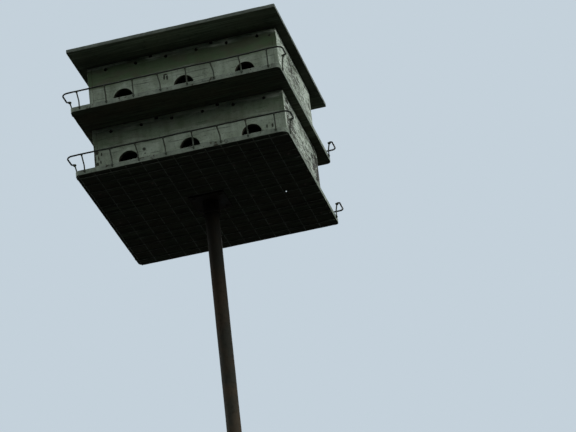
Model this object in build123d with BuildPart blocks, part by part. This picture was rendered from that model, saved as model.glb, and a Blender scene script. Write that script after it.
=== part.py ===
"""Two-storey bird house with six rooms a storey, on one steel pole.

Millimetres, +Z up. The origin is the middle of the pole's foot, at ground level.
The front looks along -Y. Both decks are centred on the pole, and the rooms and the
roof sit a little further back, so that the front porch is deeper than the back one.
"""
import os

from build123d import *

os.makedirs("parts", exist_ok=True)

# Pole and the flange that carries the house
pole_length = 4572.0
pole_diameter = 41.3
flange_width = 102.0
flange_plate = 6.0
flange_sleeve_wall = 4.0
flange_sleeve_length = 40.0
flange_screw_spacing = 78.0
flange_screw_hole = 7.0
pole_clearance = 0.3

# Rooms: a box of boards on each storey, a little behind the pole's middle
box_width = 561.0
box_depth = 399.0
box_setback = 18.0
wall_height = 188.0
board = 12.7

# Decks: one under each storey, past the walls on every side, with rounded corners
deck_side_margin = 24.5
deck_porch_margin = 106.5
deck_thickness = 15.0
deck_corner_radius = 12.0

# Roof: over the decks' porches and sides
roof_side_overhang = 27.0
roof_porch_overhang = 109.0
roof_thickness = 11.0

# Dividers that make the six rooms, half-lapped where they cross
divider_thickness = 9.5
cross_divider_spacing = 180.0
lap_clearance = 0.2

# Entrances and air holes
entrance_diameter = 58.0
entrance_height = 70.0
entrance_spacing = 180.0
air_hole_diameter = 9.5
air_hole_offset = 45.0
air_hole_below_ceiling = 15.0

# Wire guard rails
rail_wire = 4.8
rail_height = 38.0
rail_reach_front = 18.0
rail_reach_side = 16.0
rail_corner_radius = 17.0
rail_return = 50.0
rail_hook = 8.0
post_wire = 4.0
post_count = 8
post_spacing = 78.5
post_drop = 10.0
post_knee = 12.0
wire_sides = 6

# Places that follow from the sizes
deck_width = box_width + 2 * deck_side_margin
deck_depth = box_depth + 2 * deck_porch_margin
storey_pitch = wall_height + deck_thickness
lower_floor = pole_length + deck_thickness
upper_floor = lower_floor + storey_pitch
roof_underside = upper_floor + wall_height
box_front = box_setback - box_depth / 2
box_back = box_setback + box_depth / 2
room_length = box_width - 2 * board
room_depth = box_depth - 2 * board
roof_width = box_width + 2 * roof_side_overhang
roof_depth = box_depth + 2 * roof_porch_overhang
entrance_places = [-entrance_spacing, 0, entrance_spacing]
cross_divider_places = [-cross_divider_spacing / 2, cross_divider_spacing / 2]
lap_width = divider_thickness + 2 * lap_clearance
lap_depth = wall_height / 2 + lap_clearance
end_room_depth = (room_depth - divider_thickness) / 2
end_room_middle = (divider_thickness + end_room_depth) / 2

# Wire posts, measured on the front rail of the lower deck: they are fixed to the deck's edge
post_row = -(deck_depth + post_wire) / 2
end_post_row = (deck_width + post_wire) / 2
post_foot = lower_floor - post_drop
rail_line = -(deck_depth / 2 + rail_reach_front)
rail_side = deck_width / 2 + rail_reach_side
rail_end = rail_line + rail_return
rail_level = lower_floor + rail_height
post_places = [(number - (post_count - 1) / 2) * post_spacing for number in range(post_count)]


def save(piece, name):
    """Labels a finished piece and writes it."""
    piece.part.label = name
    export_step(piece.part, f"parts/{name}.step")


def porch_wall(name, outer_face, inwards, floor):
    """A front or back wall, between the side walls, with three entrances and six air holes."""
    entrances = [(place, floor + entrance_height) for place in entrance_places]
    air_level = floor + wall_height - air_hole_below_ceiling
    air_holes = [(place + side * air_hole_offset, air_level) for place in entrance_places for side in (-1, 1)]
    with BuildPart() as wall:
        with BuildSketch(Plane.XZ.offset(-outer_face)):
            with Locations((0, floor + wall_height / 2)):
                Rectangle(room_length, wall_height)
            with Locations(*entrances):
                Circle(entrance_diameter / 2, mode=Mode.SUBTRACT)
            with Locations(*air_holes):
                Circle(air_hole_diameter / 2, mode=Mode.SUBTRACT)
        extrude(amount=-inwards * board)
    save(wall, name)


def side_wall(name, outer_face, inwards, floor):
    """A side wall over the whole depth of the box, with two air holes to each end room."""
    air_level = floor + wall_height - air_hole_below_ceiling
    middles = [box_setback - end_room_middle, box_setback + end_room_middle]
    air_holes = [(middle + side * air_hole_offset, air_level) for middle in middles for side in (-1, 1)]
    with BuildPart() as wall:
        with BuildSketch(Plane.YZ.offset(outer_face)):
            with Locations((box_setback, floor + wall_height / 2)):
                Rectangle(box_depth, wall_height)
            with Locations(*air_holes):
                Circle(air_hole_diameter / 2, mode=Mode.SUBTRACT)
        extrude(amount=inwards * board)
    save(wall, name)


def centre_divider(name, floor):
    """The long divider between front and back rooms, slotted from above."""
    slots = [(place, floor + wall_height - lap_depth / 2) for place in cross_divider_places]
    with BuildPart() as divider:
        with BuildSketch(Plane.XZ.offset(-box_setback)):
            with Locations((0, floor + wall_height / 2)):
                Rectangle(room_length, wall_height)
            with Locations(*slots):
                Rectangle(lap_width, lap_depth, mode=Mode.SUBTRACT)
        extrude(amount=divider_thickness / 2, both=True)
    save(divider, name)


def cross_divider(name, place, floor):
    """A short divider from the front wall to the back wall, slotted from below."""
    with BuildPart() as divider:
        with BuildSketch(Plane.YZ.offset(place)):
            with Locations((box_setback, floor + wall_height / 2)):
                Rectangle(room_depth, wall_height)
            with Locations((box_setback, floor + lap_depth / 2)):
                Rectangle(lap_width, lap_depth, mode=Mode.SUBTRACT)
        extrude(amount=divider_thickness / 2, both=True)
    save(divider, name)


def deck(name, floor):
    """A deck that reaches past the walls on every side, with rounded corners."""
    with BuildPart() as plate:
        with BuildSketch(Plane.XY.offset(floor - deck_thickness)):
            RectangleRounded(deck_width, deck_depth, deck_corner_radius)
        extrude(amount=deck_thickness)
    save(plate, name)


# Steel pole, from the ground to the underside of the lower deck
with BuildPart() as pole:
    with BuildSketch(Plane.XY):
        Circle(pole_diameter / 2)
    extrude(amount=pole_length)
save(pole, "pole")

# Flange under the lower deck: a square plate on a sleeve round the pole's end
sleeve_bore = pole_diameter + 2 * pole_clearance
with BuildPart() as pole_flange:
    with BuildSketch(Plane.XY.offset(pole_length)):
        Rectangle(flange_width, flange_width)
        with GridLocations(flange_screw_spacing, flange_screw_spacing, 2, 2):
            Circle(flange_screw_hole / 2, mode=Mode.SUBTRACT)
    extrude(amount=-flange_plate)
    with BuildSketch(Plane.XY.offset(pole_length - flange_plate)):
        Circle(sleeve_bore / 2 + flange_sleeve_wall)
    extrude(amount=-flange_sleeve_length)
    with Locations((0, 0, pole_length)):
        Hole(sleeve_bore / 2)
save(pole_flange, "pole_flange")

# The two storeys: deck, walls and dividers
for storey, floor in (("lower", lower_floor), ("upper", upper_floor)):
    deck(f"{storey}_deck", floor)
    porch_wall(f"{storey}_front_wall", box_front, 1, floor)
    porch_wall(f"{storey}_back_wall", box_back, -1, floor)
    side_wall(f"{storey}_left_wall", -box_width / 2, 1, floor)
    side_wall(f"{storey}_right_wall", box_width / 2, -1, floor)
    centre_divider(f"{storey}_centre_divider", floor)
    for side, place in zip(("left", "right"), cross_divider_places):
        cross_divider(f"{storey}_{side}_cross_divider", place, floor)

# Flat roof over both porches
with BuildPart() as roof:
    with BuildSketch(Plane.XY.offset(roof_underside)):
        with Locations((0, box_setback)):
            Rectangle(roof_width, roof_depth)
    extrude(amount=roof_thickness)
save(roof, "roof")

# One wire post: up the deck's front edge, then bent out to the rail wire
with BuildPart() as post:
    with BuildLine(Plane.YZ) as post_path:
        Polyline(
            (post_row, post_foot),
            (post_row, lower_floor + post_knee),
            (rail_line, rail_level),
        )
    with BuildSketch(Plane(origin=post_path.line @ 0, z_dir=post_path.line % 0)):
        RegularPolygon(post_wire / 2, wire_sides)
    sweep(path=post_path.line, transition=Transition.RIGHT)

# One end post: up the deck's side edge to the rail's hooked end
with BuildPart() as end_post:
    with BuildLine(Plane.XZ.offset(-rail_end)) as end_path:
        Polyline(
            (end_post_row, post_foot),
            (end_post_row, lower_floor + post_knee),
            (rail_side - rail_hook, rail_level),
        )
    with BuildSketch(Plane(origin=end_path.line @ 0, z_dir=end_path.line % 0)):
        RegularPolygon(post_wire / 2, wire_sides)
    sweep(path=end_path.line, transition=Transition.RIGHT)

# Front guard rail: a wire along the porch, round both corners and hooked in at its ends
with BuildPart() as lower_front_rail:
    with BuildLine(Plane.XY.offset(rail_level)) as rail_path:
        Line((-rail_side + rail_hook, rail_end), (-rail_side, rail_end))
        FilletPolyline(
            (-rail_side, rail_end),
            (-rail_side, rail_line),
            (rail_side, rail_line),
            (rail_side, rail_end),
            radius=rail_corner_radius,
        )
        Line((rail_side, rail_end), (rail_side - rail_hook, rail_end))
    rail_wire_path = rail_path.wires()[0]
    with BuildSketch(Plane(origin=rail_wire_path @ 0, z_dir=rail_wire_path % 0)):
        RegularPolygon(rail_wire / 2, wire_sides)
    sweep(path=rail_wire_path, transition=Transition.RIGHT)
    with Locations(*[(place, 0, 0) for place in post_places]):
        add(post.part)
    add(end_post.part)
    mirror(end_post.part, about=Plane.YZ)
save(lower_front_rail, "lower_front_rail")

with BuildPart() as lower_back_rail:
    mirror(lower_front_rail.part, about=Plane.XZ)
save(lower_back_rail, "lower_back_rail")

with BuildPart() as upper_front_rail:
    with Locations((0, 0, storey_pitch)):
        add(lower_front_rail.part)
save(upper_front_rail, "upper_front_rail")

with BuildPart() as upper_back_rail:
    with Locations((0, 0, storey_pitch)):
        add(lower_back_rail.part)
save(upper_back_rail, "upper_back_rail")
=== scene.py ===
import math
import random

import bpy
import numpy as np
from mathutils import Matrix, Vector, noise


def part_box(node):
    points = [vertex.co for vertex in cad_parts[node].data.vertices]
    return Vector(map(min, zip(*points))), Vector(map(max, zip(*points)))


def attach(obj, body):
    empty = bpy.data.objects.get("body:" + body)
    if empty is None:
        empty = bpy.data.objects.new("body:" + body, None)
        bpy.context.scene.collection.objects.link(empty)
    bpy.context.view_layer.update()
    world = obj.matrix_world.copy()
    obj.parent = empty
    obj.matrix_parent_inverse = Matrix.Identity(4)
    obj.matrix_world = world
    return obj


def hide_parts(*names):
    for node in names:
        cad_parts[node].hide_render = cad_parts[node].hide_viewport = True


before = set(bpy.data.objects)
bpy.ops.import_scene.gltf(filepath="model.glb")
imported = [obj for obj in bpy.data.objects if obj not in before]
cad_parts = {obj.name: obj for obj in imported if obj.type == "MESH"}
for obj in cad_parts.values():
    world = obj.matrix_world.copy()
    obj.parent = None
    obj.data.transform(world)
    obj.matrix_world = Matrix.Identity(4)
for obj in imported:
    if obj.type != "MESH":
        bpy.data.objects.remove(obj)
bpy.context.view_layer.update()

# Lengths are in metres, in the frame of the solids: +Z up the pole, the front along -Y
scene = bpy.context.scene
MM = 0.001
BODY = "root"
STOREYS = ("lower", "upper")

# Camera: place and axes in the object's frame, fitted to the photograph's edges
CAMERA_PLACE = (1.581226, -6.806614, 0.912879)
CAMERA_RIGHT = (0.96340994, 0.24716791, -0.10367886)
CAMERA_UP = (0.2032556, -0.42155241, 0.88373114)
CAMERA_FORWARD = (-0.17472391, 0.87246867, 0.45636605)
CAMERA_LENS = 173.284
CAMERA_SENSOR = 36.0
CAMERA_NEAREST = 0.1
CAMERA_FARTHEST = 2000.0

# Studio: each softbox as azimuth, elevation, distance, width, height, level
HOUSE_MIDDLE = Vector((0.0, 0.0, 4.79))
SOFTBOXES = {
    "key_right": (84, 17, 6.0, 4.0, 2.6, 1.0),
    "fill_front": (-6, 17, 6.0, 3.0, 2.9, 0.32),
    "fill_left": (266, 20, 6.0, 4.0, 2.6, 0.7),
    "fill_back": (180, 20, 6.0, 4.0, 2.6, 0.7),
    "top": (0, 89, 5.0, 3.0, 3.0, 0.9),
}
BACKGROUND = (0.552, 0.638, 0.708)
AMBIENT = 0.064
AMBIENT_COLOUR = (0.92, 0.97, 1.0)
FLOOR_RADIUS = 600.0
FLOOR_SIDES = 96
FLOOR_PALE = (0.4, 0.43, 0.45)
FLOOR_GLOW = 0.72
FLOOR_BOUNCE = 0.028


# Shaders

# Sockets of the node that mixes colours, by number, because several share a name
MIX_INPUTS = (0, 6, 7)
MIX_RESULT = 2

# How many half sizes out a mark starts and is full, before its ragged outline
MARK_START = 1.55
MARK_FULL = 1.25


def shade(colour, share):
    """The same colour, darker."""
    return tuple(share * c for c in colour)


class Shader:
    """A material's node tree, with short calls for its nodes."""

    def __init__(self, name):
        self.material = bpy.data.materials.new(name)
        self.material.use_nodes = True
        self.tree = self.material.node_tree
        self.surface = self.tree.nodes["Principled BSDF"]
        self.place = self.add("ShaderNodeTexCoord").outputs["Object"]

    def fill(self, socket, value):
        """Links a socket to another node's output, or sets it to a plain value."""
        if isinstance(value, bpy.types.NodeSocket):
            self.tree.links.new(value, socket)
        elif socket.type == "RGBA":
            socket.default_value = (*value, 1.0)
        else:
            socket.default_value = value

    def add(self, kind, inputs=(), **settings):
        node = self.tree.nodes.new(kind)
        for key, value in settings.items():
            setattr(node, key, value)
        for key, value in dict(inputs).items():
            self.fill(node.inputs[key], value)
        return node

    def along(self, axis):
        """The place along one axis of the object's frame."""
        return self.add("ShaderNodeSeparateXYZ", {"Vector": self.place}).outputs[axis]

    def noise(self, x, y=None, z=None, detail=4.0, rough=0.55, distort=0.0, shift=0.0):
        """Noise of so many waves a metre along x, y and z, or of x along all three."""
        scale = (x, x if y is None else y, x if z is None else z)
        point = self.add("ShaderNodeMapping", {
            "Vector": self.place, "Scale": scale, "Location": (shift, shift, shift)})
        node = self.add("ShaderNodeTexNoise", {
            "Vector": point.outputs["Vector"], "Scale": 1.0, "Detail": detail,
            "Roughness": rough, "Distortion": distort})
        return node.outputs["Fac"]

    def range(self, value, low, high, to_low=0.0, to_high=1.0):
        node = self.add("ShaderNodeMapRange", {
            "Value": value, "From Min": low, "From Max": high, "To Min": to_low, "To Max": to_high})
        return node.outputs["Result"]

    def patches(self, low, high, *scale, **settings):
        """0 where a noise is under low, and 1 where it is over high."""
        return self.range(self.noise(*scale, **settings), low, high)

    def math(self, operation, a, b=0.0, clamp=True):
        node = self.add("ShaderNodeMath", {0: a, 1: b}, operation=operation, use_clamp=clamp)
        return node.outputs[0]

    def mix(self, factor, a, b):
        node = self.add("ShaderNodeMix", data_type="RGBA", clamp_factor=True)
        for number, value in zip(MIX_INPUTS, (factor, a, b)):
            self.fill(node.inputs[number], value)
        return node.outputs[MIX_RESULT]

    def layer(self, colour, amount, strength, over):
        """The colour with another one over it, as much as amount times strength."""
        return self.mix(self.math("MULTIPLY", amount, strength), colour, over)

    def marks(self, spots, ragged):
        """1 inside any of the ellipsoids (centre, half sizes), with ragged outlines."""
        total = None
        for centre, size in spots:
            near = self.add("ShaderNodeMapping", {
                "Vector": self.place, "Scale": tuple(1 / r for r in size),
                "Location": tuple(-c / r for c, r in zip(centre, size))})
            length = self.add("ShaderNodeVectorMath", {0: near.outputs["Vector"]}, operation="LENGTH")
            reach = self.math("ADD", length.outputs["Value"], ragged, clamp=False)
            inside = self.range(reach, MARK_START, MARK_FULL)
            total = inside if total is None else self.math("MAXIMUM", total, inside)
        return total

    def attribute(self, name):
        return self.add("ShaderNodeAttribute", attribute_name=name).outputs["Fac"]

    def finish(self, colour, roughness, heights=(), metallic=0.0, gloss=0.3):
        """Links the colour, a roughness and a list of (height, depth in metres) as bump."""
        self.surface.inputs["Specular IOR Level"].default_value = gloss
        self.surface.inputs["Metallic"].default_value = metallic
        self.fill(self.surface.inputs["Base Color"], colour)
        self.fill(self.surface.inputs["Roughness"], roughness)
        normal = self.surface.inputs["Normal"]
        for height, depth in reversed(heights):
            bump = self.add("ShaderNodeBump", {"Height": height, "Distance": depth, "Strength": 1.0})
            self.tree.links.new(bump.outputs["Normal"], normal)
            normal = bump.inputs["Normal"]
        return self.material


# Old paint: waves a metre of the grain along x, y and z, on flat and on upright boards
FLAT_GRAIN = (11, 260, 260)
UPRIGHT_GRAIN = (11, 11, 260)
# Colours of the bands under the porch ceilings: moss, and painted shade where the ceilings shade the walls
MOSS_SHADE_GREEN = (0.051, 0.082, 0.039)
MOSS_SHADE_BROWN = (0.058, 0.07, 0.041)
BAND_FOOT = 8 * MM
BAND_TOP = 6 * MM
# A paler strip at the top of each wall, under the ceiling: painted light that lifts the shade there
CEILING_LIGHT_PAINT = (0.47, 0.54, 0.43)
CEILING_LIGHT_EDGE = 9 * MM
CEILING_LIGHT_STRIP = 22 * MM
CHALKY_PAINT = (0.51, 0.58, 0.508)
FLAKE_RIM = (0.56, 0.62, 0.55)
FLAKED_BOARD = (0.034, 0.036, 0.026)
FLAKE_DEPTH = 0.8 * MM
CRACK_DEPTH = 0.5 * MM
GRAIN_DEPTH = 0.25 * MM
MARK_DARK = (0.014, 0.014, 0.01)


def moss_and_shade_bands(s, colour, bands):
    """Ragged bands of moss and painted shade under the porch ceilings (low, high, strength), with a paler
    strip of painted light just above each.
    """
    z = s.along("Z")
    ragged = s.range(s.noise(9, 9, 60, detail=3, shift=23), 0.3, 0.7, -10 * MM, 10 * MM)
    level = s.math("ADD", z, ragged, clamp=False)
    moss_shade_kinds = s.patches(0.46, 0.6, 17, 17, 30, rough=0.6, shift=41)
    moss_shade_colour = s.mix(moss_shade_kinds, MOSS_SHADE_GREEN, MOSS_SHADE_BROWN)
    # Each band is partly moss and partly painted shade under the ceiling
    for low, high, strength in bands:
        above = s.range(level, low - BAND_FOOT, low + BAND_FOOT)
        below = s.range(level, high + BAND_TOP, high - BAND_TOP)
        colour = s.layer(colour, s.math("MULTIPLY", above, below), strength, moss_shade_colour)
        # Painted light: paler paint in a strip just under the ceiling
        painted_light = s.range(level, high, high + CEILING_LIGHT_EDGE, 0.0, 0.85)
        under_ceiling = s.math("LESS_THAN", z, high + CEILING_LIGHT_STRIP)
        colour = s.mix(s.math("MULTIPLY", painted_light, under_ceiling), colour, CEILING_LIGHT_PAINT)
    return colour


def flaked(s, colour, craze, inside):
    """Chalky paint that has flaked off in pale-rimmed scales, most where it is worn and at the dark
    marks (inside). Also gives where it is lost."""
    drift = s.patches(0.4, 0.62, 9, 7, 13, detail=3, rough=0.5, shift=61)
    amount = s.math("ADD", s.attribute("wear"), s.math("MULTIPLY", drift, craze), clamp=False)
    rise = s.range(amount, 0.0, 1.6, -0.03, 0.11)
    chalk = s.patches(0.47, 0.55, 80, 40, 150, detail=5, rough=0.72, distort=0.4, shift=51)
    colour = s.layer(colour, chalk, 0.3 + 0.52 * craze, CHALKY_PAINT)
    scales = s.noise(80, 34, 165, detail=7, rough=0.74, distort=0.35, shift=3)
    scales = s.math("ADD", scales, rise, clamp=False)
    if inside is not None:
        scales = s.math("ADD", scales, s.math("MULTIPLY", inside, 0.12), clamp=False)
    lost = s.range(scales, 0.556, 0.572)
    rim = s.math("SUBTRACT", s.range(scales, 0.525, 0.55), lost)
    colour = s.layer(colour, rim, 0.45, FLAKE_RIM)
    return s.layer(colour, lost, 0.92, FLAKED_BOARD), lost


def paint(name, clean, grimy, wood, flat=False, craze=0.0, spots=(), eaves=()):
    """Old pale paint: mottled, streaked by rain, cracked along the grain and worn through in places.
    flat is for boards that lie flat, craze is how much has flaked off, spots are dark marks (centre,
    half sizes) and eaves are bands of moss and painted shade, with painted light above each (low, high,
    strength)."""
    s = Shader(name)
    colour = s.mix(s.patches(0.36, 0.66, 26, detail=6, rough=0.62), clean, grimy)
    streak = s.patches(0.42, 0.72, 70, 70, 7, shift=3)
    colour = s.layer(colour, streak, 0.4, shade(grimy, 0.5))
    speck = s.patches(0.58, 0.68, 230, detail=3, rough=0.6, shift=7)
    colour = s.layer(colour, speck, 0.55, shade(grimy, 0.35))
    blot = s.patches(0.6, 0.66, 95, 95, 130, rough=0.7, shift=29)
    colour = s.layer(colour, blot, 0.45, shade(grimy, 0.45))
    waves = FLAT_GRAIN if flat else UPRIGHT_GRAIN
    crack = s.patches(0.6, 0.66, *waves, detail=3, rough=0.5, distort=0.4, shift=11)
    colour = s.layer(colour, crack, 0.7, shade(grimy, 0.3))
    # Moss and painted shade under the porch ceilings
    if eaves:
        colour = moss_and_shade_bands(s, colour, eaves)
    heights = []
    inside = None
    if spots:
        ragged = s.range(s.noise(160, detail=3, rough=0.6, shift=31), 0.2, 0.8, 0.0, 0.8)
        inside = s.marks(spots, ragged)
    if craze:
        colour, lost = flaked(s, colour, craze, inside)
        heights.append((s.math("SUBTRACT", 1.0, lost), FLAKE_DEPTH))
        if spots:
            inside = s.math("MULTIPLY", inside, lost)
    grain = s.noise(*(1.5 * wave for wave in waves), rough=0.6, shift=5)
    bare = s.mix(s.range(grain, 0.35, 0.7), wood, shade(wood, 0.45))
    flake = s.noise(62, 62, 44, detail=7, rough=0.68, distort=0.6, shift=17)
    worn = s.math("MULTIPLY", s.attribute("wear"), 0.24)
    through = s.range(s.math("ADD", flake, worn), 0.72, 0.75)
    colour = s.mix(through, colour, bare)
    if spots:
        colour = s.layer(colour, inside, 0.92, MARK_DARK)
    heights.append((s.range(grain, 0.3, 0.7), GRAIN_DEPTH))
    heights.append((s.math("SUBTRACT", 1.0, crack), CRACK_DEPTH))
    heights.append((s.math("SUBTRACT", 1.0, through), CRACK_DEPTH))
    return s.finish(colour, s.range(flake, 0.3, 0.7, 0.66, 0.88), heights, gloss=0.05)


# Bare board, with its grain and planks along x: waves a metre along x, y and z
BOARD_GRAIN = (9, 260, 260)
BOARD_PLANKS = (1.8, 52, 52)
BOARD_ROUGHNESS = 0.88
BOARD_GLOSS = 0.02
ROOMS_MIDDLE = 18 * MM


def dark_board(name, wood, stain, mould_and_shade=None):
    """Bare board: grain, a few stains and mould. The last argument gives how far from the rooms' middle
    the board is darkest, and how far out the darkening ends: partly mould, partly painted shade towards
    the walls."""
    s = Shader(name)
    grain = s.noise(*BOARD_GRAIN, detail=5, rough=0.6, distort=0.3)
    colour = s.mix(s.range(grain, 0.38, 0.62), wood, shade(wood, 0.36))
    plank = s.patches(0.44, 0.56, *BOARD_PLANKS, rough=0.65, shift=37)
    colour = s.layer(colour, plank, 0.65, shade(stain, 0.42))
    patch = s.patches(0.45, 0.68, 9, detail=5, rough=0.6, shift=2)
    colour = s.layer(colour, patch, 0.7, stain)
    mould = s.patches(0.56, 0.66, 60, detail=6, rough=0.7, shift=9)
    colour = s.layer(colour, mould, 0.5, shade(stain, 0.45))
    # Painted shade and mould: darker under the house and towards the walls, fading out to the overhang's
    # edge
    if mould_and_shade:
        offset = s.math("SUBTRACT", s.along("Y"), ROOMS_MIDDLE, clamp=False)
        away = s.math("ABSOLUTE", offset, clamp=False)
        bent = s.math("ADD", away, s.range(mould, 0.0, 1.0, 0.0, -12 * MM), clamp=False)
        colour = s.mix(s.range(bent, *mould_and_shade, 0.9, 0.0), colour, shade(stain, 0.15))
    heights = [(s.range(grain, 0.3, 0.7), 0.4 * MM), (mould, 0.2 * MM)]
    return s.finish(colour, BOARD_ROUGHNESS, heights, gloss=BOARD_GLOSS)


# Painted shade: the colour the pole's top darkens to, standing in for the shade under the house
TOP_SHADE = (0.005, 0.005, 0.004)


def rusty(name, steel, rust, flaking, waves, gloss=0.2, rough=(0.5, 0.8), shaded_top=None):
    """Steel under an uneven skin of rust of so many waves a metre, with pits and streaks. It is painted
    darker
    upwards between two heights: painted shade under the house."""
    s = Shader(name)
    skin = s.noise(waves, waves, waves * 0.6, detail=7, rough=0.65, distort=0.5)
    colour = s.mix(s.range(skin, 0.4, 0.6), steel, rust)
    pits = s.patches(0.52, 0.66, waves * 9, rough=0.7, shift=5)
    colour = s.layer(colour, pits, 0.6, flaking)
    streak = s.patches(0.45, 0.7, waves * 2.5, waves * 2.5, waves * 0.12, detail=3, shift=13)
    colour = s.layer(colour, streak, 0.4, shade(steel, 0.5))
    # Painted shade under the house: darker up the pole's top
    if shaded_top:
        ragged = s.range(skin, 0.3, 0.7, -30 * MM, 30 * MM)
        level = s.math("ADD", s.along("Z"), ragged, clamp=False)
        colour = s.layer(colour, s.range(level, *shaded_top), 0.86, TOP_SHADE)
    heights = [(pits, 0.3 * MM), (skin, 0.6 * MM)]
    return s.finish(colour, s.range(skin, 0.3, 0.7, *rough), heights, gloss=gloss)


def bright_zinc(name):
    """A newer screw's plated head, which mirrors the sky."""
    s = Shader(name)
    spangle = s.noise(900, detail=3, rough=0.5)
    colour = s.mix(s.range(spangle, 0.35, 0.65), (0.9, 0.92, 0.92), (0.72, 0.74, 0.74))
    roughness = s.range(spangle, 0.3, 0.7, 0.16, 0.3)
    return s.finish(colour, roughness, [(spangle, 0.1 * MM)], metallic=1.0)


# Dark marks on the front walls: x, z, half width, half height
FRONT_FACE = -0.1815
MARK_REACH = 0.02
FRONT_MARKS = (
    (-0.133, 4.681, 0.0052, 0.0046),
    (-0.131, 4.667, 0.003, 0.0018),
    (-0.0555, 4.896, 0.0028, 0.0085),
    (-0.047, 4.893, 0.003, 0.009),
    (-0.051, 4.904, 0.006, 0.0025),
    (0.225, 4.669, 0.0025, 0.006),
    (0.241, 4.668, 0.0032, 0.006),
    (-0.2795, 4.684, 0.0045, 0.042),
    (-0.271, 4.7, 0.005, 0.006),
    (-0.267, 4.681, 0.0024, 0.007),
    (-0.272, 4.664, 0.005, 0.005),
    (-0.262, 4.669, 0.002, 0.006),
    (-0.258, 4.693, 0.002, 0.0055),
    (0.262, 4.957, 0.0035, 0.0035),
)

# Dark marks on the right walls: y, z, half depth, half height
RIGHT_FACE = 0.2805
RIGHT_MARKS = (
    (-0.137, 4.759, 0.01, 0.007),
    (-0.127, 4.686, 0.008, 0.012),
    (-0.067, 4.696, 0.012, 0.0045),
    (0.098, 4.694, 0.011, 0.0045),
    (0.145, 4.727, 0.016, 0.0085),
    (0.15, 4.692, 0.017, 0.0105),
    (0.194, 4.733, 0.018, 0.016),
    (0.199, 4.686, 0.015, 0.02),
    (0.17, 4.764, 0.032, 0.0075),
    (-0.054, 4.908, 0.013, 0.0045),
    (0.008, 4.955, 0.016, 0.004),
    (0.115, 4.903, 0.012, 0.0045),
    (0.188, 4.913, 0.008, 0.0105),
    (-0.084, 4.9, 0.008, 0.0035),
    (0.211, 4.712, 0.007, 0.015),
    (0.207, 4.652, 0.01, 0.02),
    (0.172, 4.708, 0.008, 0.006),
    (0.178, 4.66, 0.01, 0.008),
)
FRONT_SPOTS = [((x, FRONT_FACE, z), (wide, MARK_REACH, tall)) for x, z, wide, tall in FRONT_MARKS]
RIGHT_SPOTS = [((RIGHT_FACE, y, z), (MARK_REACH, deep, tall)) for y, z, deep, tall in RIGHT_MARKS]

# Bands of moss and painted shade under both storeys' porch ceilings, over the entrances: low, high,
# strength
PORCH_EAVES = ((4.71, 4.762, 0.6), (4.911, 4.968, 0.9))

# Finishes: the wall paint's clean, grimy and bare wood colours come first
WALL_COLOURS = ((0.25, 0.305, 0.248), (0.158, 0.196, 0.148), (0.054, 0.057, 0.041))
PORCH_PAINT = paint("porch_paint", *WALL_COLOURS, spots=FRONT_SPOTS, eaves=PORCH_EAVES)
RIGHT_PAINT = paint("right_paint", *WALL_COLOURS, craze=0.75, spots=RIGHT_SPOTS)
LEFT_PAINT = paint("left_paint", *WALL_COLOURS, craze=0.35)
DECK_PAINT = paint(
    "deck_paint", clean=(0.178, 0.216, 0.178), grimy=(0.117, 0.144, 0.113), wood=(0.058, 0.054, 0.04),
    flat=True)
ROOF_PAINT = paint(
    "roof_paint", clean=(0.108, 0.13, 0.112), grimy=(0.067, 0.082, 0.067), wood=(0.05, 0.046, 0.034),
    flat=True)
UNDERSIDES = {
    "lower": dark_board("dark_board", wood=(0.112, 0.137, 0.091), stain=(0.087, 0.083, 0.058)),
    "upper": dark_board("upper_dark_board", wood=(0.104, 0.121, 0.088), stain=(0.091, 0.08, 0.058)),
    # The roof's underside is painted darker towards the walls: painted shade and mould
    "roof": dark_board("roof_dark_board", wood=(0.3, 0.36, 0.272), stain=(0.205, 0.219, 0.164),
                       mould_and_shade=(0.2, 0.3)),
}
ROOM_BOARD = dark_board("room_board", wood=(0.3, 0.23, 0.155), stain=(0.18, 0.14, 0.095))
HOLE_EDGE = dark_board("hole_edge", wood=(0.075, 0.076, 0.056), stain=(0.042, 0.04, 0.03))
# The pole's top is painted darker between these heights: painted shade under the house
POLE_RUST = rusty(
    "pole_rust", steel=(0.034, 0.035, 0.028), rust=(0.064, 0.049, 0.033), flaking=(0.018, 0.015, 0.011),
    waves=14, gloss=0.01, shaded_top=(3.88, 4.38))
FLANGE_RUST = rusty(
    "flange_rust", steel=(0.022, 0.021, 0.017), rust=(0.03, 0.024, 0.017), flaking=(0.012, 0.011, 0.008),
    waves=40, gloss=0.01)
WIRE = rusty(
    "rail_wire", steel=(0.014, 0.018, 0.014), rust=(0.014, 0.0145, 0.011), flaking=(0.008, 0.008, 0.007),
    waves=90, gloss=0.04, rough=(0.34, 0.52))
POST_WIRE = rusty(
    "post_wire", steel=(0.038, 0.05, 0.036), rust=(0.03, 0.034, 0.023), flaking=(0.014, 0.015, 0.011),
    waves=90, gloss=0.08)
MESH_WIRE = rusty(
    "mesh_wire", steel=(0.18, 0.208, 0.165), rust=(0.104, 0.107, 0.083), flaking=(0.068, 0.068, 0.053),
    waves=60, gloss=0.05)
NAIL = rusty(
    "nail_rust", steel=(0.045, 0.036, 0.03), rust=(0.07, 0.038, 0.02), flaking=(0.024, 0.018, 0.014),
    waves=200)
ZINC = bright_zinc("zinc_screw")


# Meshes

# Degrees between two faces, over which the edge between them stays sharp
BOARD_SMOOTH = 35.0
ROUND_SMOOTH = 50.0
WIRE_SMOOTH = 60.0
TINY = 1e-12


def smooth_shade(mesh, angle):
    mesh.polygons.foreach_set("use_smooth", [True] * len(mesh.polygons))
    mesh.set_sharp_from_angle(angle=math.radians(angle))


def new_object(name, verts, faces, materials, smooth=BOARD_SMOOTH):
    mesh = bpy.data.meshes.new(name)
    mesh.from_pydata([tuple(v) for v in verts], [], faces)
    for material in materials:
        mesh.materials.append(material)
    smooth_shade(mesh, smooth)
    mesh.update()
    piece = bpy.data.objects.new(name, mesh)
    scene.collection.objects.link(piece)
    return piece


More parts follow.
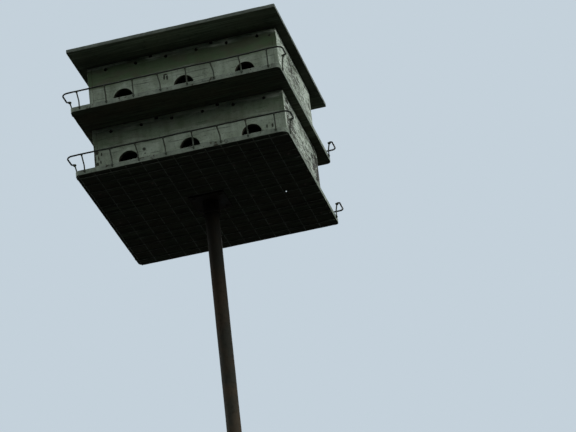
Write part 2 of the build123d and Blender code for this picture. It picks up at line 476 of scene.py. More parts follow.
def keep(piece, slot, *nodes):
    """The piece rides on the body and stands for the nodes. The slot is not used."""
    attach(piece, BODY)
    if nodes:
        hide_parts(*nodes)


def assemble(name, parts, material, slot, *nodes, smooth=ROUND_SMOOTH):
    """One piece from several vertex and face lists."""
    verts, faces = joined(parts)
    keep(new_object(name, verts, faces, [material], smooth), slot, *nodes)


def refinish(node, material):
    """A solid that shows as it is, with a better material."""
    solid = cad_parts[node]
    solid.data.materials.clear()
    solid.data.materials.append(material)


# Grid lines on a board: shares of its arris, then a few lines this far apart
ARRIS_LINES = (0.0, 0.3, 0.65, 1.0)
NEAR_COUNT = 7
NEAR_STEP = 3 * MM


def steps(low, high, step, edge):
    """Grid lines from low to high: close together near both ends, then a step apart."""
    near = [share * edge for share in ARRIS_LINES]
    near += [edge + NEAR_STEP * (k + 1) for k in range(NEAR_COUNT)]
    near = [n for n in near if n < (high - low) / 2 - 1e-6]
    count = max(2, int(round((high - low) / step)))
    inner = np.linspace(low + near[-1], high - near[-1], count)
    return np.concatenate([low + np.array(near[:-1]), inner, high - np.array(near[:-1])[::-1]])


def box_grid(lines):
    """Vertices and quads of a box whose sides are divided at the grid lines."""
    counts = [len(line) for line in lines]
    ids = {}
    verts = []
    faces = []

    def vertex(at):
        index = (at[0], at[1], at[2])
        if index not in ids:
            ids[index] = len(verts)
            verts.append([lines[axis][index[axis]] for axis in range(3)])
        return ids[index]

    for axis in range(3):
        u = (axis + 1) % 3
        v = (axis + 2) % 3
        for end in (0, counts[axis] - 1):
            for i in range(counts[u] - 1):
                for j in range(counts[v] - 1):
                    quad = [vertex({axis: end, u: i + a, v: j + b})
                            for a, b in ((0, 0), (1, 0), (1, 1), (0, 1))]
                    faces.append(quad if end else quad[::-1])
    return np.array(verts), faces


def noise_at(points, waves, seed):
    shift = Vector((seed * 7.31, seed * 3.17, seed * 5.93))
    return np.array([noise.noise(Vector(p) * waves + shift) for p in points])


def round_arrises(p, half, radius):
    """Rounds a box about the origin at its edges and corners, by each point's own radius."""
    inner = half - radius[:, None]
    q = np.clip(p, -inner, inner)
    d = p - q
    length = np.maximum(np.linalg.norm(d, axis=1), TINY)
    return q + d * (np.abs(d).max(axis=1) / length)[:, None]


def round_outline(p, half, radius, corners):
    """Rounds a flat board about the origin: its four upright corners by a radius each, and its
    upper and lower arrises by each point's own radius."""
    right = (p[:, 0] > 0).astype(int)
    behind = (p[:, 1] > 0).astype(int)
    corner = np.array(corners)[right + 2 * behind]
    inner = half[:2] - corner[:, None]
    q = np.clip(p[:, :2], -inner, inner)
    d = p[:, :2] - q
    length = np.maximum(np.linalg.norm(d, axis=1), TINY)
    in_corner = (np.abs(d) > 1e-9).all(axis=1)[:, None]
    bend = np.abs(d).max(axis=1) / length
    flat = np.where(in_corner, q + d * bend[:, None], p[:, :2])
    gaps = half[:2] - np.abs(p[:, :2])
    least = gaps.min(axis=1)
    straight = np.where(gaps == least[:, None], np.sign(p[:, :2]), 0)
    outward = np.where(in_corner, d / length[:, None], straight)
    near_side = np.clip(radius - least, 0, None)
    near_face = np.clip(radius - (half[2] - np.abs(p[:, 2])), 0, None)
    span = np.maximum(np.hypot(near_side, near_face), TINY)
    on_arris = (near_side > 0) & (near_face > 0)
    fit = np.where(on_arris, np.maximum(near_side, near_face) / span, 1.0)
    inward = near_side * (1 - fit)
    closer = near_face * (1 - fit)
    return np.column_stack([flat - outward * inward[:, None], p[:, 2] - np.sign(p[:, 2]) * closer])


# Wear of boards: waves a metre of their chips, nicks and hollows, and the least arris
CHIP_WAVES = 38.0
NICK_WAVES = 190.0
HOLLOW_WAVES = 11.0
LEAST_ARRIS = 0.4 * MM


def worn_box(low, high, step, seed, arris=0.6 * MM, chip=1.2 * MM, dish=0.3 * MM, corners=None):
    """A board with unevenly worn arrises and not quite flat faces. corners gives a flat board's
    upright corners a radius each: front left, front right, back left, back right."""
    low = np.array(low)
    high = np.array(high)
    lines = [steps(low[a], high[a], step, arris + chip) for a in range(3)]
    verts, faces = box_grid(lines)
    middle = (low + high) / 2
    half = (high - low) / 2
    chips = np.clip(noise_at(verts, CHIP_WAVES, seed) * 1.9 - 0.25, 0, 1)
    nicks = np.clip(noise_at(verts, NICK_WAVES, seed + 3) * 2, -1, 1)
    radius = arris + chip * chips + 0.4 * arris * nicks
    radius = np.clip(radius, LEAST_ARRIS, np.min(half) * 0.95)
    if corners:
        p = round_outline(verts - middle, half, radius, corners)
    else:
        p = round_arrises(verts - middle, half, radius)
    thin = int(np.argmin(half))
    hollow = dish * (0.5 + 0.5 * noise_at(verts, HOLLOW_WAVES, seed + 5))
    on_face = np.abs(p[:, thin]) > 0.5 * half[thin]
    p[:, thin] -= np.sign(p[:, thin]) * np.where(on_face, hollow, 0)
    return p + middle, faces


def wear_attribute(piece, low, high, reach, amount, extra=()):
    """How worn each vertex is: most near the board's edges, and at extra places (centre, half sizes,
    most) that the photograph shows."""
    mesh = piece.data
    co = np.zeros(len(mesh.vertices) * 3)
    mesh.vertices.foreach_get("co", co)
    co = co.reshape(-1, 3)
    half = (np.array(high) - np.array(low)) / 2
    gaps = half - np.abs(co - (np.array(low) + np.array(high)) / 2)
    thin = int(np.argmin(half))
    wide = [a for a in range(3) if a != thin]
    wear = amount * np.clip(1 - gaps[:, wide].min(axis=1) / max(reach, MM), 0, 1)
    for centre, size, most in extra:
        away = np.linalg.norm((co - np.array(centre)) / np.array(size), axis=1)
        wear = np.maximum(wear, most * np.clip(1.25 - away, 0, 1))
    layer = mesh.attributes.new("wear", "FLOAT", "POINT")
    layer.data.foreach_set("value", np.clip(wear, 0, 1.4))


def face_materials(piece, rule):
    """Gives each face the material whose number the rule tells from the face's normal."""
    for polygon in piece.data.polygons:
        polygon.material_index = rule(polygon.normal)


def cut(piece, cutter):
    """Cuts holes into the piece's mesh, and removes the cutter."""
    change = piece.modifiers.new("holes", "BOOLEAN")
    change.object = cutter
    change.operation = "DIFFERENCE"
    change.solver = "EXACT"
    graph = bpy.context.evaluated_depsgraph_get()
    mesh = bpy.data.meshes.new_from_object(piece.evaluated_get(graph))
    piece.modifiers.clear()
    old = piece.data
    piece.data = mesh
    bpy.data.meshes.remove(old)
    bpy.data.objects.remove(cutter)
    smooth_shade(mesh, BOARD_SMOOTH)


def ring(centre, side, other, radius, sides):
    """Points of a circle in the plane of two directions."""
    turns = [2 * math.pi * k / sides for k in range(sides)]
    return [centre + (side * math.cos(t) + other * math.sin(t)) * radius for t in turns]


def ring_stack(rings):
    """Quads between rings of equally many points, with both ends capped."""
    verts = []
    faces = []
    count = len(rings[0])
    for points in rings:
        verts.extend(points)
    for i in range(len(rings) - 1):
        for j in range(count):
            a = i * count + j
            b = i * count + (j + 1) % count
            faces.append((a, b, b + count, a + count))
    faces.append(tuple(range(count))[::-1])
    faces.append(tuple((len(rings) - 1) * count + j for j in range(count)))
    return verts, faces


def joined(parts):
    """Several vertex and face lists as one."""
    verts = []
    faces = []
    for part_verts, part_faces in parts:
        base = len(verts)
        verts.extend(part_verts)
        faces.extend(tuple(base + i for i in face) for face in part_faces)
    return verts, faces


def turned(centre, normal, profile, sides):
    """A turned form: the profile is a list of (height along the normal, radius)."""
    centre = Vector(centre)
    normal = Vector(normal).normalized()
    side = normal.orthogonal().normalized()
    other = normal.cross(side)
    return ring_stack([ring(centre + normal * height, side, other, radius, sides)
                       for height, radius in profile])


def tube(path, radius, sides):
    """A round wire along the path's points."""
    path = [Vector(p) for p in path]
    tangents = []
    for i in range(len(path)):
        before = path[max(i - 1, 0)]
        after = path[min(i + 1, len(path) - 1)]
        tangents.append((after - before).normalized())
    side = tangents[0].orthogonal().normalized()
    rings = []
    for point, tangent in zip(path, tangents):
        side = (side - tangent * side.dot(tangent)).normalized()
        rings.append(ring(point, side, tangent.cross(side), radius, sides))
    return ring_stack(rings)


# Walls, decks and roof

BOARD_STEP = 5 * MM
DECK_STEP = 6 * MM
ENTRANCE_PLACES = (-180 * MM, 0.0, 180 * MM)
ENTRANCE_HEIGHT = 70 * MM
AIR_HOLE_OFFSET = 45 * MM
AIR_HOLE_BELOW = 15 * MM
SIDE_AIR_MIDDLES = (-77.4 * MM, 113.4 * MM)
DIVIDER_PLACES = (-90 * MM, 90 * MM)
NOTCH_WIDTH = 9.5 * MM
NOTCH_HEIGHT = 8 * MM
NOTCH_DEPTH = 4 * MM
NOTCH_REACH = 2 * MM
CUTTER_REACH = 3 * MM

# The two kinds of hole: radius, flare at the board's faces, sides
ENTRANCE = (29 * MM, 0.7 * MM, 64)
AIR_HOLE = (4.75 * MM, 0.4 * MM, 20)

# Places in a board's list of materials, and how squarely a face looks along an axis
OUTSIDE = 0
INSIDE = 1
HOLE = 2
WALL_END = 3
FACING = 0.7


def block(low, high):
    """The corners and faces of a plain block, for cutters."""
    verts = [(x, y, z) for x in (low[0], high[0]) for y in (low[1], high[1]) for z in (low[2], high[2])]
    faces = [(0, 1, 3, 2), (4, 6, 7, 5), (0, 4, 5, 1), (2, 3, 7, 6), (0, 2, 6, 4), (1, 5, 7, 3)]
    return verts, faces


def hole_profile(radius, flare, low, high):
    """A round cutter through a board from low to high, flared at both faces."""
    end = [(-CUTTER_REACH, radius + flare), (-0.05 * MM, radius + flare),
           (0.45 * flare, radius + 0.35 * flare), (flare, radius)]
    return [(low + depth, r) for depth, r in end] + [(high - depth, r) for depth, r in end[::-1]]


def hole_cutter(name, holes, axis, low, high, materials, notches=()):
    """Cutters for all the holes (centre, kind) and notches of a board between low and high."""
    parts = [block(*notch) for notch in notches]
    normal = Vector((0, 0, 0))
    normal[axis] = 1.0
    for centre, (radius, flare, sides) in holes:
        parts.append(turned(centre, normal, hole_profile(radius, flare, low, high), sides))
    verts, faces = joined(parts)
    cutter = new_object(name, verts, faces, materials)
    cutter.data.polygons.foreach_set("material_index", [HOLE] * len(cutter.data.polygons))
    return cutter


def porch_wall(node, inwards, seed, extra=()):
    """A front or back wall, with entrances, air holes and notches for the dividers' ends."""
    low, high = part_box(node)
    verts, faces = worn_box(low, high, BOARD_STEP, seed)
    materials = [PORCH_PAINT, ROOM_BOARD, HOLE_EDGE]
    wall = new_object(node + "_board", verts, faces, materials)
    face_materials(wall, lambda normal: INSIDE if normal.y * inwards > FACING else OUTSIDE)
    holes = [((x, 0, low.z + ENTRANCE_HEIGHT), ENTRANCE) for x in ENTRANCE_PLACES]
    holes += [((x + side * AIR_HOLE_OFFSET, 0, high.z - AIR_HOLE_BELOW), AIR_HOLE)
              for x in ENTRANCE_PLACES for side in (-1, 1)]
    outer = low.y if inwards > 0 else high.y
    near, far = sorted((outer - inwards * NOTCH_REACH, outer + inwards * NOTCH_DEPTH))
    notches = [((x - NOTCH_WIDTH / 2, near, high.z - NOTCH_HEIGHT),
                (x + NOTCH_WIDTH / 2, far, high.z + NOTCH_REACH)) for x in DIVIDER_PLACES]
    cut(wall, hole_cutter(node + "_cutter", holes, 1, low.y, high.y, materials, notches))
    wear_attribute(wall, low, high, 0.0, 0.0, extra)
    keep(wall, "wall_paint", node)


def side_wall(node, inwards, seed, extra=()):
    """A left or right wall, with air holes. Its ends are painted as the porches are."""
    low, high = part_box(node)
    verts, faces = worn_box(low, high, BOARD_STEP, seed, arris=0.7 * MM, chip=1.8 * MM)
    materials = [LEFT_PAINT if inwards > 0 else RIGHT_PAINT, ROOM_BOARD, HOLE_EDGE, PORCH_PAINT]
    wall = new_object(node + "_board", verts, faces, materials)

    def finish_of(normal):
        if normal.x * inwards > FACING:
            return INSIDE
        return WALL_END if abs(normal.y) > FACING else OUTSIDE

    face_materials(wall, finish_of)
    holes = [((0, y + side * AIR_HOLE_OFFSET, high.z - AIR_HOLE_BELOW), AIR_HOLE)
             for y in SIDE_AIR_MIDDLES for side in (-1, 1)]
    cut(wall, hole_cutter(node + "_cutter", holes, 0, low.x, high.x, materials))
    wear_attribute(wall, low, high, 5 * MM, 0.15, extra)
    keep(wall, "wall_paint", node)


def slab(node, seed, corners, painted, below, slot):
    """A deck or the roof: painted, with bare dark board below."""
    low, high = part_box(node)
    verts, faces = worn_box(low, high, DECK_STEP, seed, dish=0.4 * MM, corners=corners)
    piece = new_object(node + "_board", verts, faces, [painted, below])
    face_materials(piece, lambda normal: INSIDE if normal.z < -FACING else OUTSIDE)
    wear_attribute(piece, low, high, 4 * MM, 0.55)
    keep(piece, slot, node)


# Radii of the upright corners, as worn_box takes them
DECK_CORNERS = {
    "lower": (13 * MM, 19 * MM, 17 * MM, 8 * MM),
    "upper": (12 * MM, 12 * MM, 12 * MM, 13 * MM),
}
ROOF_CORNERS = (3 * MM,) * 4

# More wear: place along the wall, height over the floor, half length, half height, most wear
WEAR_FACE = 0.281
WEAR_REACH = 0.02
FRONT_WEAR = {
    "lower": ((-0.268, 0.085, 0.012, 0.05, 0.6),),
    "upper": (),
}
RIGHT_WEAR = {
    "lower": (
        (-0.145, 0.12, 0.034, 0.09, 0.78),
        (0.188, 0.11, 0.036, 0.1, 0.72),
        (-0.09, 0.1, 0.05, 0.08, 0.75),
        (0.02, 0.08, 0.2, 0.09, 0.5),
    ),
    "upper": ((-0.03, 0.1, 0.13, 0.09, 0.55),),
}

for number, storey in enumerate(STOREYS):
    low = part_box(f"{storey}_front_wall")[0]
    front_extra = [((x, low.y, low.z + rise), (wide, WEAR_REACH, tall), most)
                   for x, rise, wide, tall, most in FRONT_WEAR[storey]]
    right_extra = [((WEAR_FACE, y, low.z + rise), (WEAR_REACH, deep, tall), most)
                   for y, rise, deep, tall, most in RIGHT_WEAR[storey]]
    porch_wall(f"{storey}_front_wall", 1, 11 + number, front_extra)
    porch_wall(f"{storey}_back_wall", -1, 21 + number)
    side_wall(f"{storey}_left_wall", 1, 31 + number)
    side_wall(f"{storey}_right_wall", -1, 41 + number, right_extra)
    slab(f"{storey}_deck", 51 + number, DECK_CORNERS[storey], DECK_PAINT, UNDERSIDES[storey], "deck_paint")
    for part in ("centre_divider", "left_cross_divider", "right_cross_divider"):
        refinish(f"{storey}_{part}", ROOM_BOARD)
slab("roof", 61, ROOF_CORNERS, ROOF_PAINT, UNDERSIDES["roof"], "roof_paint")


def jitter(rng, most):
    """A random distance, of at most so many millimetres either way."""
    return rng.uniform(-most, most) * MM


# Guard rails

RAIL_RADIUS = 2.35 * MM
RAIL_SIDES = 14
RAIL_HEIGHT = 38 * MM
RAIL_LINE = 323.6 * MM
RAIL_SIDE = 320.6 * MM
RAIL_RETURN = 50 * MM
RAIL_HOOK = 8 * MM
RAIL_SPACING = 9 * MM
HOOK_CORNER = 4 * MM
POST_RADIUS = 1.95 * MM
POST_SIDES = 12
POST_ROW = 308 * MM
END_POST_ROW = 307 * MM
POST_SPACING = 78.5 * MM
POST_COUNT = 8
POST_DROP = 10 * MM
POST_KNEE = 12 * MM
POST_BEND = 11 * MM
POST_SHORT = 0.6 * MM
POST_STEP = 5 * MM
WELD_RADIUS = 3.1 * MM
END_WELD_RADIUS = 5 * MM
STAPLE_RADIUS = 0.75 * MM
STAPLE_RISE = 4.5 * MM
STAPLE_ROOT = 1.5 * MM
STAPLE_STEPS = 8

# Radius of the rails' corners: -1 for the front porches, 1 for the back ones
RAIL_CORNERS = {-1: 17 * MM, 1: 11 * MM}

# How much higher a rail is for each metre to the right, and how far use has bent it
RAIL_TILT = {"lower": -4 * MM, "upper": 0.8 * MM}
RAIL_PUSH = 2 * MM
RAIL_RISE = 1.4 * MM
RAIL_KINK = 0.6 * MM


def rounded_path(points, radii, spacing):
    """Straight runs joined by arcs, sampled a spacing apart."""
    points = [Vector(p) for p in points]
    out = [points[0]]

    def run_to(target):
        start = out[-1]
        count = max(1, int((target - start).length / spacing))
        out.extend(start.lerp(target, (k + 1) / count) for k in range(count))

    for i in range(1, len(points) - 1):
        here = points[i]
        a = (points[i - 1] - here).normalized()
        b = (points[i + 1] - here).normalized()
        turn = math.pi - a.angle(b)
        reach = radii[i - 1] * math.tan(turn / 2)
        start = here + a * reach
        end = here + b * reach
        middle = here + (a + b).normalized() * (radii[i - 1] / math.cos(turn / 2))
        run_to(start)
        count = max(3, int(turn / math.radians(10)))
        spoke = start - middle
        axis = spoke.cross(end - middle)
        for k in range(1, count + 1):
            out.append(middle + Matrix.Rotation(turn * k / count, 3, axis) @ spoke)
    run_to(points[-1])
    return out


def rail_bend(p, facing, seed, tilt):
    """How far use has moved a point of the rail: towards the wall, up and down, and by kinks."""
    sway = noise.noise(Vector((p.x * 7.0, seed, p.y * 5.0)))
    rise = noise.noise(Vector((p.x * 9.0, p.y * 6.0, seed + 4.0)))
    kink = noise.noise(Vector((p.x * 34.0, p.y * 30.0, seed + 9.0)))
    inward = -facing * max(0.0, sway) * RAIL_PUSH
    return Vector((0, inward, rise * RAIL_RISE + kink * RAIL_KINK + p.x * tilt))


def staple(foot, outward):
    """A staple over a post's foot, driven into the deck's edge."""
    across = Vector((0, 0, 1)).cross(outward)
    root = Vector(foot) - outward * POST_RADIUS + Vector((0, 0, STAPLE_RISE))
    wide = POST_RADIUS + 0.9 * MM
    tall = 2 * POST_RADIUS + 0.5 * MM
    arch = [root + across * wide - outward * STAPLE_ROOT]
    for k in range(STAPLE_STEPS + 1):
        turn = math.pi * k / STAPLE_STEPS
        reach = tall - wide + wide * math.sin(turn)
        arch.append(root + across * wide * math.cos(turn) + outward * reach)
    arch.append(root - across * wide - outward * STAPLE_ROOT)
    return tube(arch, STAPLE_RADIUS, 8)


def weld_lump(top, lean, radius):
    """The lump of weld between a post's top and the rail."""
    profile = [(-2.6 * MM, POST_RADIUS * 0.98), (-1.2 * MM, 0.8 * radius), (0.6 * MM, radius),
               (2.4 * MM, 0.94 * radius), (3.2 * MM, 0.5 * radius)]
    return turned(top - lean * 3.4 * MM, lean, profile, 14)


def guard_rail(storey, facing, seed):
    """A bent wire rail on flared posts. facing is -1 for the front porch and 1 for the back one."""
    rng = random.Random(seed)
    node = f"{storey}_{'front' if facing < 0 else 'back'}_rail"
    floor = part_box(f"{storey}_deck")[1].z
    level = floor + RAIL_HEIGHT
    line = facing * RAIL_LINE
    back = facing * (RAIL_LINE - RAIL_RETURN)
    hook = RAIL_SIDE - RAIL_HOOK
    half = [(hook, back), (RAIL_SIDE, back), (RAIL_SIDE, line)]
    corners = [(-x, y, level) for x, y in half] + [(x, y, level) for x, y in half[::-1]]
    radius = RAIL_CORNERS[facing]
    straight = rounded_path(corners, [HOOK_CORNER, radius, radius, HOOK_CORNER], RAIL_SPACING)
    bent = [p + rail_bend(p, facing, seed, RAIL_TILT[storey]) for p in straight]
    posts = []
    trims = []

    def post(foot, knee, target, outward, weld_radius):
        """A wire up the deck's edge, bent out and welded under the rail, with its staple."""
        target = Vector(target)
        top = min(bent, key=lambda p: (p - target).length)
        lean = (top - Vector(knee)).normalized()
        path = rounded_path([foot, knee, top - lean * POST_SHORT], [POST_BEND], POST_STEP)
        posts.append(tube(path, POST_RADIUS, POST_SIDES))
        trims.append(weld_lump(top, lean, weld_radius))
        trims.append(staple(foot, Vector(outward)))

    for k in range(POST_COUNT):
        x = (k - (POST_COUNT - 1) / 2) * POST_SPACING + jitter(rng, 1.2)
        foot = (x, facing * POST_ROW, floor - POST_DROP)
        knee = (x + jitter(rng, 0.8), facing * POST_ROW, floor + POST_KNEE + jitter(rng, 2))
        post(foot, knee, (x, line, level), (0, facing, 0), WELD_RADIUS)
    for side in (-1, 1):
        foot = (side * END_POST_ROW, back, floor - POST_DROP)
        knee = (side * END_POST_ROW, back, floor + POST_KNEE)
        target = (side * (hook + 1 * MM), back, level)
        post(foot, knee, target, (side, 0, 0), END_WELD_RADIUS)
    rail = tube(bent, RAIL_RADIUS, RAIL_SIDES)
    assemble(node + "_wire", [rail], WIRE, "rail_wire", node, smooth=WIRE_SMOOTH)
    assemble(node + "_posts", posts + trims, POST_WIRE, "rail_wire", node, smooth=WIRE_SMOOTH)


for number, storey in enumerate(STOREYS):
    guard_rail(storey, -1, 71 + number)
    guard_rail(storey, 1, 81 + number)


# Pole, flange and fixings

POLE_SIDES = 56
POLE_SPACING = 9 * MM

# Millimetres by which the pole's skin lies inside its radius: evenly, in scales, in flakes
POLE_SKIN = 0.35
POLE_SCALES = 0.3
POLE_FLAKES = 0.3


def rusty_pole():
    """The pole's tube, with a scaly skin."""
    low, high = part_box("pole")
    radius = (high.x - low.x) / 2
    rings = []
    count = int((high.z - low.z) / POLE_SPACING)
    for i in range(count + 1):
        z = low.z + (high.z - low.z) * i / count
        points = []
        for k in range(POLE_SIDES):
            t = 2 * math.pi * k / POLE_SIDES
            x = math.cos(t)
            y = math.sin(t)
            scale = noise.noise(Vector((x * 1.4, y * 1.4, z * 9.0)))
            flake = noise.noise(Vector((x * 5.0, y * 5.0, z * 55.0 + 7.0)))
            r = radius - (POLE_SKIN + POLE_SCALES * scale + POLE_FLAKES * max(0.0, flake)) * MM
            points.append(Vector((x * r, y * r, z)))
        rings.append(points)
    assemble("pole_tube", [ring_stack(rings)], POLE_RUST, "pole_steel", "pole")


rusty_pole()
refinish("pole_flange", FLANGE_RUST)

NAIL_HEAD = 2.6 * MM
NAIL_DOME = 0.5 * MM
NAIL_SIDES = 14
NAIL_SEED = 5
WALL_NAIL_SINK = 0.35 * MM
WALL_NAIL_MARGIN = 6 * MM
PORCH_NAIL_SHARES = (0.9, 0.52, 0.12)
SIDE_NAIL_SHARES = (0.88, 0.5, 0.13)


def nail(place, normal, radius=NAIL_HEAD):
    """A nail head, sunk a little into the board, with a low dome."""
    rim = 0.15 * MM
    profile = [(-1 * MM, radius * 0.6), (-0.3 * MM, radius * 0.97), (rim, radius),
               (rim + 0.6 * NAIL_DOME, radius * 0.72), (rim + NAIL_DOME, radius * 0.25)]
    return turned(place, normal, profile, NAIL_SIDES)


def nail_grid(rng, xs, ys, z, normal, radius):
    """Nail heads at every x and y, each a little off its place."""
    return [nail((x + jitter(rng, 2), y + jitter(rng, 2), z), normal, radius) for x in xs for y in ys]


rng = random.Random(NAIL_SEED)
for storey in STOREYS:
    front_low, front_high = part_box(f"{storey}_front_wall")
    back_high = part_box(f"{storey}_back_wall")[1]
    side_low, side_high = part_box(f"{storey}_right_wall")
    floor = front_low.z
    ceiling = front_high.z
    heads = []
    for x in DIVIDER_PLACES:
        for share in PORCH_NAIL_SHARES:
            z = floor + (ceiling - floor) * share + jitter(rng, 3)
            dx = jitter(rng, 1.5)
            heads.append(nail((x + dx, front_low.y + WALL_NAIL_SINK, z), (0, -1, 0)))
            heads.append(nail((x - dx, back_high.y - WALL_NAIL_SINK, z), (0, 1, 0)))
    for side in (-1, 1):
        x = side * (side_high.x - WALL_NAIL_SINK)
        for y in (side_low.y + WALL_NAIL_MARGIN, side_high.y - WALL_NAIL_MARGIN, ROOMS_MIDDLE):
            for share in SIDE_NAIL_SHARES:
                z = floor + (ceiling - floor) * share + jitter(rng, 4)
                heads.append(nail((x, y + jitter(rng, 1), z), (side, 0, 0)))
    assemble(f"{storey}_wall_nails", heads, PORCH_PAINT, "wall_paint")

roof_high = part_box("roof")[1]
roof_nails = nail_grid(rng, (-0.274, -0.09, 0.09, 0.274), (-0.175, -0.06, 0.1, 0.211),
                       roof_high.z - 0.7 * MM, (0, 0, 1), 3.2 * MM)
assemble("roof_nails", roof_nails, NAIL, "pole_steel")

deck_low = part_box("lower_deck")[0]
deck_screws = nail_grid(rng, (-0.274, -0.12, 0.12, 0.274), (-0.175, 0.018, 0.211),
                        deck_low.z + 0.2 * MM, (0, 0, -1), 3 * MM)
assemble("deck_screws", deck_screws, NAIL, "pole_steel")

# The one bright screw: its place under the deck, and its head as heights and radii
BRIGHT_SCREW_PLACE = (0.215, 0.034)
PAN_HEAD = [(-1 * MM, 2.3 * MM), (0.8 * MM, 2.7 * MM), (2 * MM, 2.85 * MM), (2.8 * MM, 2.6 * MM),
            (3.4 * MM, 1.9 * MM), (3.7 * MM, 0.8 * MM)]
bright_screw = turned((*BRIGHT_SCREW_PLACE, deck_low.z), (0, 0, -1), PAN_HEAD, 24)
assemble("bright_screw", [bright_screw], ZINC, "pole_steel")

# The grid of wires: pitch and middle along x and y, radius, and what it keeps clear of
MESH_PITCH = (45.65 * MM, 46.1 * MM)
MESH_MIDDLE = (1 * MM, 10.6 * MM)
MESH_RADIUS = 1.1 * MM
MESH_EDGE = 3 * MM
MESH_GAP = 4 * MM
MESH_STEP = 23 * MM
MESH_WAVE = 0.5 * MM


def mesh_wire(along, place, level, start, end):
    """A nearly straight wire along x (0) or y (1) from start to end, as one part of the grid."""
    points = []
    count = max(2, int((end - start) / MESH_STEP))
    for k in range(count + 1):
        t = start + (end - start) * k / count
        wave = noise.noise(Vector((t * 11.0, place * 31.0, level))) * MESH_WAVE
        points.append((place + wave, t, level) if along else (t, place + wave, level))
    return tube(points, MESH_RADIUS, 8)


def wire_mesh():
    """The grid of pale wires under the lower deck, left out round the pole's flange."""
    low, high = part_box("lower_deck")
    first = [c + MESH_EDGE for c in low]
    last = [c - MESH_EDGE for c in high]
    flange_low, flange_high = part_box("pole_flange")
    hole_low = [c - MESH_GAP for c in flange_low]
    hole_high = [c + MESH_GAP for c in flange_high]
    levels = (low.z - 2.3 * MESH_RADIUS, low.z - 0.6 * MESH_RADIUS)
    parts = []
    for k in range(-6, 7):
        for across, along in ((0, 1), (1, 0)):
            place = MESH_MIDDLE[across] + (k - 0.5) * MESH_PITCH[across]
            if not first[across] < place < last[across]:
                continue
            ends = [first[along], last[along]]
            if hole_low[across] < place < hole_high[across]:
                ends[1:1] = [hole_low[along], hole_high[along]]
            for start, end in zip(ends[::2], ends[1::2]):
                parts.append(mesh_wire(along, place, levels[along], start, end))
    assemble("deck_mesh", parts, MESH_WIRE, "rail_wire", smooth=WIRE_SMOOTH)


wire_mesh()

# The flange's screws: places from the pole, and their heads as heights and radii
FLANGE_SCREW_OFFSET = 39 * MM
FLANGE_PLATE = 6 * MM
FLANGE_SCREW_HEAD = [(-2 * MM, 3 * MM), (0, 5.4 * MM), (1.2 * MM, 6 * MM), (2.6 * MM, 4.6 * MM),
                     (3.2 * MM, 2 * MM)]
plate_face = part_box("pole_flange")[1].z - FLANGE_PLATE
flange_screws = [turned((across * FLANGE_SCREW_OFFSET, along * FLANGE_SCREW_OFFSET, plate_face),
                        (0, 0, -1), FLANGE_SCREW_HEAD, 18) for across in (-1, 1) for along in (-1, 1)]
assemble("flange_screws", flange_screws, FLANGE_RUST, "pole_steel")


# Studio

def softbox(name, azimuth, elevation, distance, width, height, level):
    """An area lamp that faces the house's middle. level is how bright it renders a white board
    that faces it."""
    turn = math.radians(azimuth)
    rise = math.radians(elevation)
    away = Vector((math.sin(turn) * math.cos(rise), -math.cos(turn) * math.cos(rise), math.sin(rise)))
    lamp = bpy.data.lights.new(name, "AREA")
    lamp.shape = "RECTANGLE"
    lamp.size = width
    lamp.size_y = height
    lamp.energy = level * math.pi ** 2 * distance ** 2
    holder = bpy.data.objects.new(name, lamp)
    holder.location = HOUSE_MIDDLE + away * distance
    holder.rotation_mode = "QUATERNION"
    holder.rotation_quaternion = (-away).to_track_quat("-Z", "Y")
    holder.visible_camera = False
    scene.collection.objects.link(holder)


for name, settings in SOFTBOXES.items():
    softbox(name, *settings)


def shown_rays(tree):
    """1 for rays that show the background, directly or in a gloss, and 0 for others."""
    path = tree.nodes.new("ShaderNodeLightPath")
    total = path.outputs["Is Camera Ray"]
    for output in ("Is Glossy Ray", "Is Transmission Ray"):
        add = tree.nodes.new("ShaderNodeMath")
        add.operation = "ADD"
        add.use_clamp = True
        tree.links.new(total, add.inputs[0])
        tree.links.new(path.outputs[output], add.inputs[1])
        total = add.outputs[0]
    return total


def show_or_light(tree, shown, lighting, output_kind):
    """One shader for the rays that show the background, and another for those that light."""
    either = tree.nodes.new("ShaderNodeMixShader")
    output = tree.nodes.new(output_kind)
    tree.links.new(shown_rays(tree), either.inputs[0])
    tree.links.new(lighting.outputs[0], either.inputs[1])
    tree.links.new(shown.outputs[0], either.inputs[2])
    tree.links.new(either.outputs[0], output.inputs["Surface"])


def coloured(tree, kind, colour, strength=None):
    """A plain shader node of one colour."""
    node = tree.nodes.new(kind)
    node.inputs["Color"].default_value = (*colour, 1.0)
    if strength is not None:
        node.inputs["Strength"].default_value = strength
    return node


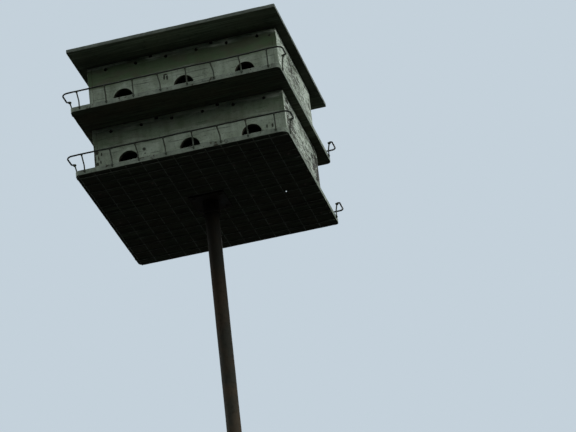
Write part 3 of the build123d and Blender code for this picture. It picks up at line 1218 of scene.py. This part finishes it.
def studio_world():
    """A plain background, and a weak even light from all round."""
    world = bpy.data.worlds.new("studio")
    scene.world = world
    world.use_nodes = True
    tree = world.node_tree
    tree.nodes.clear()
    shown = coloured(tree, "ShaderNodeBackground", BACKGROUND)
    lighting = coloured(tree, "ShaderNodeBackground", AMBIENT_COLOUR, AMBIENT)
    show_or_light(tree, shown, lighting, "ShaderNodeOutputWorld")


def studio_floor():
    """A wide pale floor, which keeps shadows and throws little light back up."""
    turns = [2 * math.pi * k / FLOOR_SIDES for k in range(FLOOR_SIDES)]
    verts = [(0, 0, 0)] + [(FLOOR_RADIUS * math.cos(t), FLOOR_RADIUS * math.sin(t), 0) for t in turns]
    faces = [(0, 1 + k, 1 + (k + 1) % FLOOR_SIDES) for k in range(FLOOR_SIDES)]
    material = bpy.data.materials.new("studio_floor")
    material.use_nodes = True
    tree = material.node_tree
    tree.nodes.clear()
    pale = coloured(tree, "ShaderNodeBsdfDiffuse", FLOOR_PALE)
    glow = coloured(tree, "ShaderNodeEmission", BACKGROUND, FLOOR_GLOW)
    lighting = coloured(tree, "ShaderNodeBsdfDiffuse", (FLOOR_BOUNCE,) * 3)
    shown = tree.nodes.new("ShaderNodeAddShader")
    tree.links.new(pale.outputs[0], shown.inputs[0])
    tree.links.new(glow.outputs[0], shown.inputs[1])
    show_or_light(tree, shown, lighting, "ShaderNodeOutputMaterial")
    new_object("studio_floor", verts, faces, [material])


studio_world()
studio_floor()

camera = bpy.data.cameras.new("camera")
camera.lens = CAMERA_LENS
camera.sensor_width = CAMERA_SENSOR
camera.sensor_fit = "HORIZONTAL"
camera.clip_start = CAMERA_NEAREST
camera.clip_end = CAMERA_FARTHEST
holder = bpy.data.objects.new("camera", camera)
scene.collection.objects.link(holder)
axes = Matrix((CAMERA_RIGHT, CAMERA_UP, [-c for c in CAMERA_FORWARD])).transposed()
holder.matrix_world = Matrix.Translation(CAMERA_PLACE) @ axes.to_4x4()
scene.camera = holder
scene.view_settings.view_transform = "Standard"
